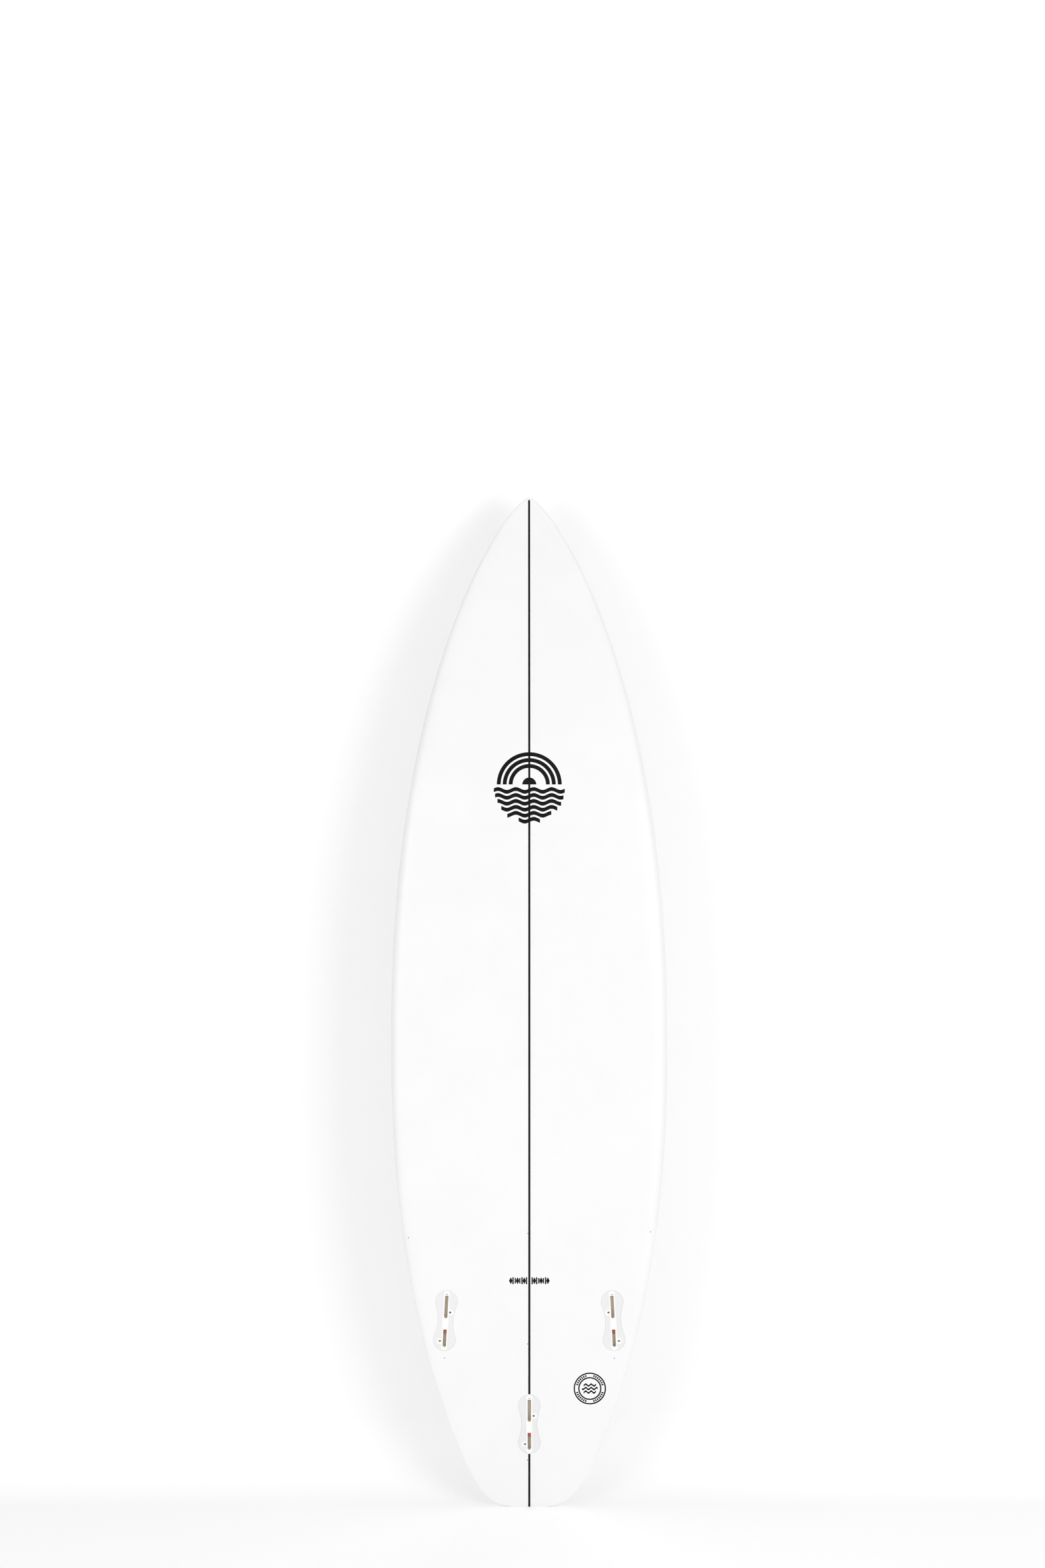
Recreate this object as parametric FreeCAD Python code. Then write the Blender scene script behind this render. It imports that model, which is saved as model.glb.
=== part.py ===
import FreeCAD, Part
import math
import os

# Surfboard, three fin boxes, no fins.  Units are millimetres.
# Frame: origin at the middle of the tail's flat end, +Z from tail to nose,
# the bottom faces -Y and the deck faces +Y.  +X is the right rail seen from the bottom.

# Board
LENGTH = 1880.0
HALF_WIDTH = 254.0
WIDE_Z = 870.0          # height of the widest point above the tail
NOSE_POWERS = (2.175, 0.739)
NOSE_BLUNTNESS = 1.5    # how far past the tip the outline would close
TAIL_POWERS = (2.31, 0.888)
TAIL_RUN = 133.0        # how far past the tail the rails would close
SQUASH_HALF_WIDTH = 45.8
SQUASH_DROP = 2.8       # the tail's end has curved back this far at the width above
SQUASH_POWER = 3.7
TAIL_FLAT = 0.8         # the squash curve is cut off this far in, leaving a flat end
SQUASH_Z = (20.0, 110.0)    # the squash curve gives way to the rail line between these heights
ROCKER_LOW_Z = 850.0
NOSE_ROCKER = 127.0
NOSE_ROCKER_POWER = 2.6
TAIL_ROCKER = 62.0
TAIL_ROCKER_POWER = 2.5
THICKNESS = 64.0
THICK_Z = 960.0
NOSE_THICKNESS = 9.0
NOSE_FOIL_POWER = 1.9
TAIL_THICKNESS = 16.0
TAIL_FOIL_POWER = 2.05
DECK_POWER = 2.4        # the higher, the flatter the deck between the rails
TAIL_APEX, MID_APEX, NOSE_APEX = 0.13, 0.30, 0.42    # height of the rail's apex over the thickness
TAIL_TUCK, MID_TUCK, NOSE_TUCK = 3.0, 16.0, 9.0      # width of the rail's lower curve
CONCAVE, CONCAVE_Z, CONCAVE_SPREAD = 2.5, 800.0, 450.0
CHANNEL, CHANNEL_Z, CHANNEL_SPREAD = 1.5, 280.0, 200.0
GLASS = 1.2             # resin and cloth skin
LAP_RISE = 2.0          # the bottom glass laps this far above the rail's apex
STRINGER = 3.0
LAP_OVERRUN = 50.0      # the parting surface runs on this far past each end
PAPER = 0.4             # printed tissue laid on the foam, under the glass
PAPER_REACH = 10.7      # how far the cutting prism of a sheet reaches, up and down

# Fin boxes: a rib flush with the glass on a dog-bone body that lies under the glass
BOX_LENGTH = 112.0
LOBE_RADIUS = 20.7
WAIST = 29.3
RIB_WIDTH = 11.0
RIB_MARGIN = 1.0        # the body runs on this far past each end of the rib
RIB_REACH = 5.0         # how far the shapes cut through the skin reach, up and down
BODY_DEPTH = 17.0
SLOT_WIDTH = 6.2
SLOT_DEPTH = 14.0
FRONT_SLOT, FRONT_SLOT_FROM_END = 41.8, 10.0
REAR_SLOT, REAR_SLOT_FROM_END = 32.5, 7.0
WINDOW_WIDTH, WINDOW_LENGTH, WINDOW_GAP, WINDOW_DEPTH = 4.3, 1.9, 1.6, 3.0
LUG_RADIUS = 5.5
SCREW_OFFSET = 8.6
FRONT_SCREW, REAR_SCREW = 30.5, 21.6    # behind the front end of each slot
SCREW_ANGLE = 35.0
SCREW_RADIUS = 2.05
SCREW_TOP, SCREW_TIP = 1.7, 6.6         # along the hole, below the surface
SCREW_CHAMFER = 0.3
HOLE_OVERRUN = 3.0                      # a screw's hole runs on this far past the slot's wall
HEX_FLATS, HEX_DEPTH = 2.0, 2.2
RUNNING_CLEARANCE = 0.05
ROLLER_RADIUS = 3.9
ROLLER_WIDTH = 5.8
ROLLER_ROUND = 0.5
ROLLER_DEPTH = 5.0      # of its axle below the surface
ROLLER_FROM_SLOT_END = 4.3
AXLE_RADIUS = 1.25
AXLE_LENGTH = 11.0
CENTRE_BOX_Z = 156.5
SIDE_BOX_Z = 349.0
SIDE_BOX_X = 153.5
TOE_IN = 3.0
CANT = 5.0

# Leash cup in the deck
CUP_X, CUP_Z = 24.0, 58.0
CUP_RADIUS = 13.0
CUP_DEPTH = 14.0
CUP_WALL = 2.2
CUP_FLOOR_ROUND = 6.5
PIN_RADIUS = 2.0
PIN_DEPTH = 4.0
PIN_LENGTH = 23.2       # it ends inside the cup's wall

# Printed tissue sheets, on the centre line unless an X is given
MARK_Z, MARK_SIZE = 1325.0, 140.0
NAME_Z, NAME_LENGTH, NAME_HEIGHT = 422.5, 80.0, 20.0
BADGE_X, BADGE_Z, BADGE_RADIUS = 111.0, 223.0, 31.0

# How finely the shape functions are sampled
RAIL_STATIONS = 32
STATIONS_TAIL = (0.0, 0.6, 1.6, 3.2, 6.0, 10.0, 16.0, 25.0, 38.0, 56.0, 80.0)
STATIONS_NOSE = (60.0, 36.0, 20.0, 10.0, 4.0, 1.5, 0.0)     # from the nose tip
STATION_PITCH = 58.0
NEAREST_STATION = 0.3   # a station nearer than this to an end is left out
STEP = 0.01             # for slopes
FAR = 400.0


def vec(x, y, z):
    return FreeCAD.Vector(x, y, z)


def smooth(t):
    t = min(max(t, 0.0), 1.0)
    return t * t * (3.0 - 2.0 * t)


def bump(z, middle, spread):
    return math.exp(-((z - middle) / spread) ** 2)


def half_width(z):
    if z > WIDE_Z:
        t = (z - WIDE_Z) / (LENGTH + NOSE_BLUNTNESS - WIDE_Z)
        return HALF_WIDTH * (1.0 - t ** NOSE_POWERS[0]) ** NOSE_POWERS[1]
    t = (WIDE_Z - z) / (WIDE_Z + TAIL_RUN)
    rail = HALF_WIDTH * (1.0 - t ** TAIL_POWERS[0]) ** TAIL_POWERS[1]
    squash = SQUASH_HALF_WIDTH * ((z + TAIL_FLAT) / SQUASH_DROP) ** (1.0 / SQUASH_POWER)
    share = smooth((z - SQUASH_Z[0]) / (SQUASH_Z[1] - SQUASH_Z[0]))
    return squash + (rail - squash) * share


def rocker(z):
    nose = max(z - ROCKER_LOW_Z, 0.0) / (LENGTH - ROCKER_LOW_Z)
    tail = max(ROCKER_LOW_Z - z, 0.0) / ROCKER_LOW_Z
    lift = NOSE_ROCKER * nose ** NOSE_ROCKER_POWER + TAIL_ROCKER * tail ** TAIL_ROCKER_POWER
    return lift - TAIL_ROCKER - 0.5 * TAIL_THICKNESS


def thickness(z):
    nose = max(z - THICK_Z, 0.0) / (LENGTH - THICK_Z)
    tail = max(THICK_Z - z, 0.0) / THICK_Z
    thinner = (THICKNESS - NOSE_THICKNESS) * nose ** NOSE_FOIL_POWER
    return THICKNESS - thinner - (THICKNESS - TAIL_THICKNESS) * tail ** TAIL_FOIL_POWER


def along(z, at_tail, at_middle, at_nose):
    if z < WIDE_Z:
        return at_tail + (at_middle - at_tail) * smooth(z / WIDE_Z)
    return at_middle + (at_nose - at_middle) * smooth((z - WIDE_Z) / (LENGTH - WIDE_Z))


def apex(z):
    return thickness(z) * along(z, TAIL_APEX, MID_APEX, NOSE_APEX)


def concave(u, z):
    single = CONCAVE * bump(z, CONCAVE_Z, CONCAVE_SPREAD) * (1.0 - u * u) ** 2
    double = CHANNEL * bump(z, CHANNEL_Z, CHANNEL_SPREAD) * math.sin(math.pi * u) ** 2
    return single + double


def bottom_y(u, z, inset=0.0):
    tuck_power = 1.5 * half_width(z) / along(z, TAIL_TUCK, MID_TUCK, NOSE_TUCK)
    tuck = 1.0 - math.sqrt(1.0 - abs(u) ** tuck_power)
    return rocker(z) + inset + concave(u, z) * (1.0 - tuck) + (apex(z) - inset) * tuck


def deck_y(u, z, inset=0.0):
    dome = math.sqrt(max(1.0 - abs(u) ** DECK_POWER, 0.0))
    return rocker(z) + apex(z) + (thickness(z) - apex(z) - inset) * dome


def inset_half_width(z, inset):
    slope = (half_width(z + STEP) - half_width(z)) / STEP if z < LENGTH - STEP else 0.0
    return half_width(z) - inset * math.hypot(1.0, slope)


def section(z, inset, height):
    """One row of poles across the board, rail to rail, for the bottom or the deck."""
    width = inset_half_width(z, inset)
    row = []
    for i in range(RAIL_STATIONS + 1):
        u = math.sin(math.pi * (i / RAIL_STATIONS - 0.5))
        row.append(vec(width * u, height(u, z, inset), z))
    # The poles next to the rails stand straight over the apex, so bottom and deck meet smoothly.
    row[1].x = row[0].x
    row[-2].x = row[-1].x
    return row


def stations(start, end):
    middle = LENGTH - STATIONS_NOSE[0] - STATIONS_TAIL[-1]
    steps = round(middle / STATION_PITCH)
    heights = list(STATIONS_TAIL)
    heights += [STATIONS_TAIL[-1] + middle * i / steps for i in range(1, steps)]
    heights += [LENGTH - back for back in STATIONS_NOSE]
    inner = [z for z in heights if start + NEAREST_STATION < z < end - NEAREST_STATION]
    return [start] + inner + [end]


def skin_face(rows):
    degree = 3
    counts = (len(rows), len(rows[0]))
    knots = [list(range(count - degree + 1)) for count in counts]
    mults = [[degree + 1] + [1] * (count - degree - 1) + [degree + 1] for count in counts]
    surface = Part.BSplineSurface()
    surface.buildFromPolesMultsKnots(
        rows, mults[0], mults[1], knots[0], knots[1], False, False, degree, degree)
    return surface


def board_solid(inset):
    heights = stations(inset, LENGTH - 1.5 * inset)
    bottom = skin_face([section(z, inset, bottom_y) for z in heights])
    deck = skin_face([section(z, inset, deck_y) for z in heights])
    faces = [bottom.toShape(), deck.toShape()]
    for end in bottom.bounds()[:2]:
        edges = [bottom.uIso(end).toShape(), deck.uIso(end).toShape()]
        faces.append(Part.Face(Part.Wire(edges)))
    shell = Part.Shell(faces)
    shell.sewShape()
    solid = Part.Solid(shell)
    if solid.Volume < 0:
        solid.reverse()
    return solid


def slab(low, high):
    return Part.makeBox(high[0] - low[0], high[1] - low[1], high[2] - low[2], vec(*low))


def below_lap():
    """Everything on the bottom's side of the line where the two glass skins meet."""
    curve = Part.BSplineCurve()
    heights = [-LAP_OVERRUN] + stations(0.0, LENGTH)[::2] + [LENGTH + LAP_OVERRUN]
    curve.interpolate([vec(-FAR, rocker(z) + apex(z) + LAP_RISE, z) for z in heights])
    first, last = curve.StartPoint, curve.EndPoint
    corners = [last, vec(-FAR, -FAR, last.z), vec(-FAR, -FAR, first.z), first]
    wire = Part.Wire([curve.toShape()] + Part.makePolygon(corners).Edges)
    return Part.Face(wire).extrude(vec(2.0 * FAR, 0.0, 0.0))


def prism(outline, top, floor):
    """Extrude a wire drawn in local X and Z between two depths below the surface."""
    wire = outline.copy()
    wire.translate(vec(0.0, top, 0.0))
    return Part.Face(wire).extrude(vec(0.0, floor - top, 0.0))


def strip(width, front, rear, top, floor):
    return slab((-0.5 * width, top, rear), (0.5 * width, floor, front))


def rounded_strip(width, length):
    """Outline with half-round ends, along local Z."""
    radius = 0.5 * width
    end = 0.5 * length - radius
    right = Part.makeLine(vec(radius, 0.0, -end), vec(radius, 0.0, end))
    left = Part.makeLine(vec(-radius, 0.0, end), vec(-radius, 0.0, -end))
    front = Part.Arc(vec(radius, 0.0, end), vec(0.0, 0.0, end + radius), vec(-radius, 0.0, end))
    rear = Part.Arc(vec(-radius, 0.0, -end), vec(0.0, 0.0, -end - radius), vec(radius, 0.0, -end))
    return Part.Wire([right, front.toShape(), left, rear.toShape()])


def disc(radius, x=0.0, z=0.0):
    return Part.Wire(Part.makeCircle(radius, vec(x, 0.0, z), vec(0.0, 1.0, 0.0)))


def placed(shape, x, z, toe=0.0, cant=0.0):
    """Move a shape from the local frame of a surface point to its place on the bottom."""
    slope = (rocker(z + 1.0) - rocker(z - 1.0)) / 2.0
    turn = FreeCAD.Rotation(vec(1.0, 0.0, 0.0), -math.degrees(math.atan(slope)))
    turn = turn.multiply(FreeCAD.Rotation(vec(0.0, 1.0, 0.0), toe))
    turn = turn.multiply(FreeCAD.Rotation(vec(0.0, 0.0, 1.0), cant))
    moved = shape.copy()
    moved.Placement = FreeCAD.Placement(vec(x, bottom_y(x / half_width(z), z), z), turn)
    return moved


# Places along the fin box, in its local frame: Z runs to the front, Y into the board
FRONT_SLOT_START = 0.5 * BOX_LENGTH - FRONT_SLOT_FROM_END
FRONT_SLOT_END = FRONT_SLOT_START - FRONT_SLOT
REAR_SLOT_END = -0.5 * BOX_LENGTH + REAR_SLOT_FROM_END
REAR_SLOT_START = REAR_SLOT_END + REAR_SLOT
WINDOW_START = FRONT_SLOT_START + WINDOW_GAP + WINDOW_LENGTH
LOBE_Z = 0.5 * BOX_LENGTH - LOBE_RADIUS
ROLLER_Z = REAR_SLOT_START - ROLLER_FROM_SLOT_END
SCREW_Z = (FRONT_SLOT_START - FRONT_SCREW, REAR_SLOT_START - REAR_SCREW)


def dog_bone():
    """Two round lobes, and sides hollowed by an arc that is tangent to both."""
    waist = 0.5 * WAIST
    hollow = (waist ** 2 + LOBE_Z ** 2 - LOBE_RADIUS ** 2) / (2.0 * (LOBE_RADIUS - waist))
    share = LOBE_RADIUS / (hollow + LOBE_RADIUS)
    x, z = share * (hollow + waist), LOBE_Z - share * LOBE_Z
    end = LOBE_Z + LOBE_RADIUS
    turns = [
        ((x, z), (0.0, end), (-x, z)),
        ((-x, z), (-waist, 0.0), (-x, -z)),
        ((-x, -z), (0.0, -end), (x, -z)),
        ((x, -z), (waist, 0.0), (x, z))]
    arcs = [Part.Arc(*[vec(x, 0.0, z) for x, z in turn]).toShape() for turn in turns]
    return prism(Part.Wire(arcs), -RIB_REACH, BODY_DEPTH)


def rib_prism(flip):
    top, floor = -RIB_REACH, RIB_REACH
    rib = prism(rounded_strip(RIB_WIDTH, BOX_LENGTH - 2.0 * RIB_MARGIN), top, floor)
    front = prism(disc(LUG_RADIUS, flip * SCREW_OFFSET, SCREW_Z[0]), top, floor)
    rear = prism(disc(LUG_RADIUS, -flip * SCREW_OFFSET, SCREW_Z[1]), top, floor)
    return rib.fuse([front, rear]).removeSplitter()


def slot(width, front, rear, depth):
    """A slot with a square front end and a rounded rear end."""
    radius = 0.5 * width
    straight = strip(width, front, rear + radius, -RIB_REACH, depth)
    return straight.fuse(prism(disc(radius, 0.0, rear + radius), -RIB_REACH, depth))


def screw_axis(side):
    """Direction of a grub screw's hole, from the surface inward to the slot."""
    angle = math.radians(SCREW_ANGLE)
    return vec(-side * math.sin(angle), math.cos(angle), 0.0)


def screw_rod(side, z, radius, start, end):
    axis = screw_axis(side)
    base = vec(side * SCREW_OFFSET, 0.0, z) + axis * start
    return Part.makeCylinder(radius, end - start, base, axis)


def grub_screw(side, z):
    axis = screw_axis(side)
    body = screw_rod(side, z, SCREW_RADIUS, SCREW_TOP, SCREW_TIP)
    rim = [edge for edge in body.Edges if edge.Closed]
    body = body.makeChamfer(SCREW_CHAMFER, rim)
    start = vec(side * SCREW_OFFSET, 0.0, z) + axis * SCREW_TOP
    corner = 0.5 * HEX_FLATS / math.cos(math.radians(30.0))
    across = axis.cross(vec(0.0, 0.0, 1.0)) * corner
    corners = []
    for i in range(7):
        arm = FreeCAD.Rotation(axis, 60.0 * i).multVec(across)
        corners.append(start + arm)
    return body.cut(Part.Face(Part.makePolygon(corners)).extrude(axis * HEX_DEPTH))


def cross_rod(radius, length, z, depth):
    return Part.makeCylinder(radius, length, vec(-0.5 * length, depth, z), vec(1.0, 0.0, 0.0))


def fin_box_cavity(flip):
    front = slot(SLOT_WIDTH, FRONT_SLOT_START, FRONT_SLOT_END, SLOT_DEPTH)
    rear = slot(SLOT_WIDTH, REAR_SLOT_START, REAR_SLOT_END, SLOT_DEPTH)
    window = strip(WINDOW_WIDTH, WINDOW_START, WINDOW_START - WINDOW_LENGTH, -RIB_REACH, WINDOW_DEPTH)
    holes = []
    for side, z in ((flip, SCREW_Z[0]), (-flip, SCREW_Z[1])):
        reach = (SCREW_OFFSET - 0.5 * SLOT_WIDTH) / math.sin(math.radians(SCREW_ANGLE))
        radius = SCREW_RADIUS + RUNNING_CLEARANCE
        holes.append(screw_rod(side, z, radius, -RIB_REACH, reach + HOLE_OVERRUN))
    return front.fuse([rear, window] + holes)


def fin_box(outer, inner, x, z, toe, cant, flip):
    """Return the housing, the solid space that it takes, and the opening for it in the glass."""
    rib = placed(rib_prism(flip), x, z, toe)
    body = placed(dog_bone(), x, z, toe)
    whole = rib.common(outer).fuse(body.common(inner))
    cavity = placed(fin_box_cavity(flip), x, z, toe, cant)
    axle = placed(cross_rod(AXLE_RADIUS, AXLE_LENGTH, ROLLER_Z, ROLLER_DEPTH), x, z, toe, cant)
    return whole.cut([cavity, axle]), whole, rib


def roller():
    drum = cross_rod(ROLLER_RADIUS, ROLLER_WIDTH, ROLLER_Z, ROLLER_DEPTH)
    drum = drum.makeFillet(ROLLER_ROUND, [edge for edge in drum.Edges if edge.Closed])
    bore = cross_rod(AXLE_RADIUS + RUNNING_CLEARANCE, 2.0 * ROLLER_WIDTH, ROLLER_Z, ROLLER_DEPTH)
    return drum.cut(bore)


def deck_frame(shape):
    """Move a shape from the leash cup's local frame, Y into the board, to its place on the deck."""
    u = CUP_X / half_width(CUP_Z)
    slope = (deck_y(u, CUP_Z + 1.0) - deck_y(u, CUP_Z - 1.0)) / 2.0
    turn = FreeCAD.Rotation(vec(1.0, 0.0, 0.0), -math.degrees(math.atan(slope)))
    turn = turn.multiply(FreeCAD.Rotation(vec(0.0, 0.0, 1.0), 180.0))
    moved = shape.copy()
    moved.Placement = FreeCAD.Placement(vec(CUP_X, deck_y(u, CUP_Z), CUP_Z), turn)
    return moved


def leash_cup(outer):
    """Return the cup with its cavity, and the solid space that it takes."""
    whole = deck_frame(prism(disc(CUP_RADIUS), -CUP_WALL, CUP_DEPTH)).common(outer)
    inside = CUP_RADIUS - CUP_WALL
    cavity = prism(disc(inside), -2.0 * CUP_WALL, CUP_DEPTH - CUP_WALL)
    floor = [edge for edge in cavity.Edges if edge.Closed and edge.CenterOfMass.y > 0.0]
    cavity = cavity.makeFillet(CUP_FLOOR_ROUND, floor)
    return whole.cut([deck_frame(cavity), leash_pin()]), whole


def leash_pin():
    return deck_frame(cross_rod(PIN_RADIUS, PIN_LENGTH, 0.0, PIN_DEPTH))


def paper_sheets(inner):
    """Thin sheets lying on the foam: the large mark, the name line and the round badge."""
    lower = inner.copy()
    lower.translate(vec(0.0, PAPER, 0.0))
    outlines = {
        "mark_paper": (disc(0.5 * MARK_SIZE), 0.0, MARK_Z),
        "name_paper": (rounded_strip(NAME_HEIGHT, NAME_LENGTH), 0.0, NAME_Z),
        "badge_paper": (disc(BADGE_RADIUS), BADGE_X, BADGE_Z)}
    sheets = {}
    for name, (outline, x, z) in outlines.items():
        turn = 90.0 if name == "name_paper" else 0.0
        sheet = placed(prism(outline, -PAPER_REACH, PAPER_REACH), x, z, turn)
        sheets[name] = sheet.common(inner).cut(lower)
    return sheets


def build():
    outer = board_solid(0.0)
    inner = board_solid(GLASS)
    nodes = paper_sheets(inner)
    boxes = {
        "centre": (0.0, CENTRE_BOX_Z, 0.0, 0.0, 1.0),
        "left": (-SIDE_BOX_X, SIDE_BOX_Z, TOE_IN, -CANT, 1.0),
        "right": (SIDE_BOX_X, SIDE_BOX_Z, -TOE_IN, CANT, -1.0)}
    in_foam = list(nodes.values())
    in_glass = []
    for name, (x, z, toe, cant, flip) in boxes.items():
        housing, whole, rib = fin_box(outer, inner, x, z, toe, cant, flip)
        nodes["fin_box_" + name] = housing
        in_foam.append(whole)
        in_glass.append(rib)
        nodes["roller_" + name] = placed(roller(), x, z, toe, cant)
        axle = cross_rod(AXLE_RADIUS, AXLE_LENGTH, ROLLER_Z, ROLLER_DEPTH)
        nodes["roller_axle_" + name] = placed(axle, x, z, toe, cant)
        for end, side, place in (("front", flip, SCREW_Z[0]), ("rear", -flip, SCREW_Z[1])):
            nodes["grub_screw_" + name + "_" + end] = placed(grub_screw(side, place), x, z, toe, cant)
    nodes["leash_cup"], cup_space = leash_cup(outer)
    nodes["leash_pin"] = leash_pin()
    in_foam.append(cup_space)
    half = 0.5 * STRINGER
    core = inner.cut(in_foam)
    nodes["foam_core_left"] = core.common(slab((-FAR, -FAR, -FAR), (-half, FAR, LENGTH + FAR)))
    nodes["foam_core_right"] = core.common(slab((half, -FAR, -FAR), (FAR, FAR, LENGTH + FAR)))
    nodes["stringer"] = core.common(slab((-half, -FAR, -FAR), (half, FAR, LENGTH + FAR)))
    below = below_lap()
    nodes["bottom_glass"] = outer.common(below).cut([inner] + in_glass)
    nodes["deck_glass"] = outer.cut([below, inner, cup_space])
    return nodes


os.makedirs("parts", exist_ok=True)
for node_name, node_shape in build().items():
    node_shape.exportStep("parts/" + node_name + ".step")
    solids = node_shape.Solids
    print(node_name, len(solids), "solid", round(node_shape.Volume, 1), "mm3", node_shape.isValid())
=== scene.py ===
import math

import bpy
import numpy as np
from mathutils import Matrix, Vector
from mathutils.geometry import delaunay_2d_cdt


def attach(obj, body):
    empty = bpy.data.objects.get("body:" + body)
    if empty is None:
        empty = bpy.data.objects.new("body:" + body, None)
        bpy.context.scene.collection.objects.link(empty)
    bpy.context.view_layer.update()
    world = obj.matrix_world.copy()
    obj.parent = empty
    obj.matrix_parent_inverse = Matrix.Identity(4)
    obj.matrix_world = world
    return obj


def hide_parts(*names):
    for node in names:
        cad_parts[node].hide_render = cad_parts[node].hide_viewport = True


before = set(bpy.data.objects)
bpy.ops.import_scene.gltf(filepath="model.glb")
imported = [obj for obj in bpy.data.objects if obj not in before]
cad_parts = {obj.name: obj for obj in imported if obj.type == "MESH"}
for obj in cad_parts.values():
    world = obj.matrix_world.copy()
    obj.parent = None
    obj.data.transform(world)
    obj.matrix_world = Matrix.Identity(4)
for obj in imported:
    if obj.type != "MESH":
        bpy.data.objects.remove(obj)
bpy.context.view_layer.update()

# Surfboard.  Sizes are millimetres until a mesh is made, which is in metres.
# +Z runs from tail to nose, the bottom faces -Y, the deck +Y, and +X is the right rail.
MM = 0.001

# Board, as in the CAD
LENGTH = 1880.0
HALF_WIDTH = 254.0
WIDE_Z = 870.0
NOSE_POWERS = (2.175, 0.739)
NOSE_BLUNTNESS = 1.5
TAIL_POWERS = (2.31, 0.888)
TAIL_RUN = 133.0
SQUASH_HALF_WIDTH, SQUASH_DROP, SQUASH_POWER, TAIL_FLAT = 45.8, 2.8, 3.7, 0.8
SQUASH_Z = (20.0, 110.0)
ROCKER_LOW_Z = 850.0
NOSE_ROCKER, NOSE_ROCKER_POWER = 127.0, 2.6
TAIL_ROCKER, TAIL_ROCKER_POWER = 62.0, 2.5
THICKNESS, THICK_Z = 64.0, 960.0
NOSE_THICKNESS, NOSE_FOIL_POWER = 9.0, 1.9
TAIL_THICKNESS, TAIL_FOIL_POWER = 16.0, 2.05
DECK_POWER = 2.4
TAIL_APEX, MID_APEX, NOSE_APEX = 0.13, 0.30, 0.42
TAIL_TUCK, MID_TUCK, NOSE_TUCK = 3.0, 16.0, 9.0
CONCAVE, CONCAVE_Z, CONCAVE_SPREAD = 2.5, 800.0, 450.0
CHANNEL, CHANNEL_Z, CHANNEL_SPREAD = 1.5, 280.0, 200.0
GLASS = 1.2
NOSE_STRETCH = 1.5          # the glass is this much thicker along z at the nose
RAIL_STATIONS = 32
STATIONS_TAIL = (0.0, 0.6, 1.6, 3.2, 6.0, 10.0, 16.0, 25.0, 38.0, 56.0, 80.0)
STATIONS_NOSE = (60.0, 36.0, 20.0, 10.0, 4.0, 1.5, 0.0)
STATION_PITCH = 58.0
NEAREST_STATION = 0.3       # no station lies closer than this to the first or last one
STEP = 0.01

# Fin boxes and leash cup, as in the CAD
BOX_LENGTH = 112.0
LOBE_RADIUS, WAIST = 20.7, 29.3
RIB_WIDTH, RIB_MARGIN = 11.0, 1.0
LUG_RADIUS, SCREW_OFFSET = 5.5, 8.6
FRONT_SLOT_FROM_END, FRONT_SCREW = 10.0, 30.5
REAR_SLOT, REAR_SLOT_FROM_END, REAR_SCREW = 32.5, 7.0, 21.6
FRONT_SCREW_Z = 0.5 * BOX_LENGTH - FRONT_SLOT_FROM_END - FRONT_SCREW
REAR_SCREW_Z = -0.5 * BOX_LENGTH + REAR_SLOT_FROM_END + REAR_SLOT - REAR_SCREW
BOXES = {                   # x, z, toe-in in degrees, side of the front screw
    "centre": (0.0, 156.5, 0.0, 1.0),
    "left": (-153.5, 349.0, 3.0, 1.0),
    "right": (153.5, 349.0, -3.0, -1.0)}
CUP_X, CUP_Z, CUP_RADIUS = 24.0, 58.0, 13.0
MARK_Z, MARK_RADIUS = 1325.0, 66.0
NAME_Z, NAME_LENGTH, NAME_HEIGHT = 422.5, 72.0, 13.0
BADGE_X, BADGE_Z, BADGE_RADIUS, BADGE_INNER = 111.0, 223.0, 29.7, 21.3

# Detail that only shows
SKIN_ROWS, SKIN_COLUMNS = 6, 4      # mesh cells along and across each span of the spline
SEAM = 0.05                         # gap between the glass and a part that comes through it
PRINT_LIFT = 0.06                   # prints stand this far above and below the glass surface
OUTLINE_PITCH, PATCH_PITCH = 2.5, 7.0
END_ZONE = 20.0                     # the glass turns the corner within this of the tail and nose
RAIL_ZONE = (0.8, 0.95)             # and within these shares of the half width at the rails
STRINGER_LINE = 3.9                 # the stringer with its dark glue lines
FLANGE_EDGE = 0.7
SLOT_FLOOR = 0.35                   # fin box faces deeper than this are inside a slot or a hole, and get the painted shade
PENCIL_DOT_RADIUS = 1.1
PENCIL_DOTS = ((-155.4, 280.0), (155.9, 279.5), (-3.4, 89.0), (-3.2, 306.0), (-3.0, 509.0),
               (-221.0, 501.0), (221.5, 512.0))

# Studio, in metres and watts
FLOOR_Z = -0.001
FLOOR_GLOW = 0.085                  # lifts flat paper to the wall's white
PAPER_WHITE = 0.97
WORLD_LIGHT = 0.69
THREAD_PITCH = 0.0011               # of the glass cloth
WALL_Y, SWEEP_RADIUS, WALL_REACH, WALL_TOP, FLOOR_REACH = 0.15, 0.14, 3.5, 4.0, 12.0
SWEEP_STEPS, SWEEP_LEAD = 16, 0.4


# ---------------------------------------------------------------- shape of the board

def smooth(t):
    t = np.clip(t, 0.0, 1.0)
    return t * t * (3.0 - 2.0 * t)


def bump(z, middle, spread):
    return math.exp(-((z - middle) / spread) ** 2)


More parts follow.
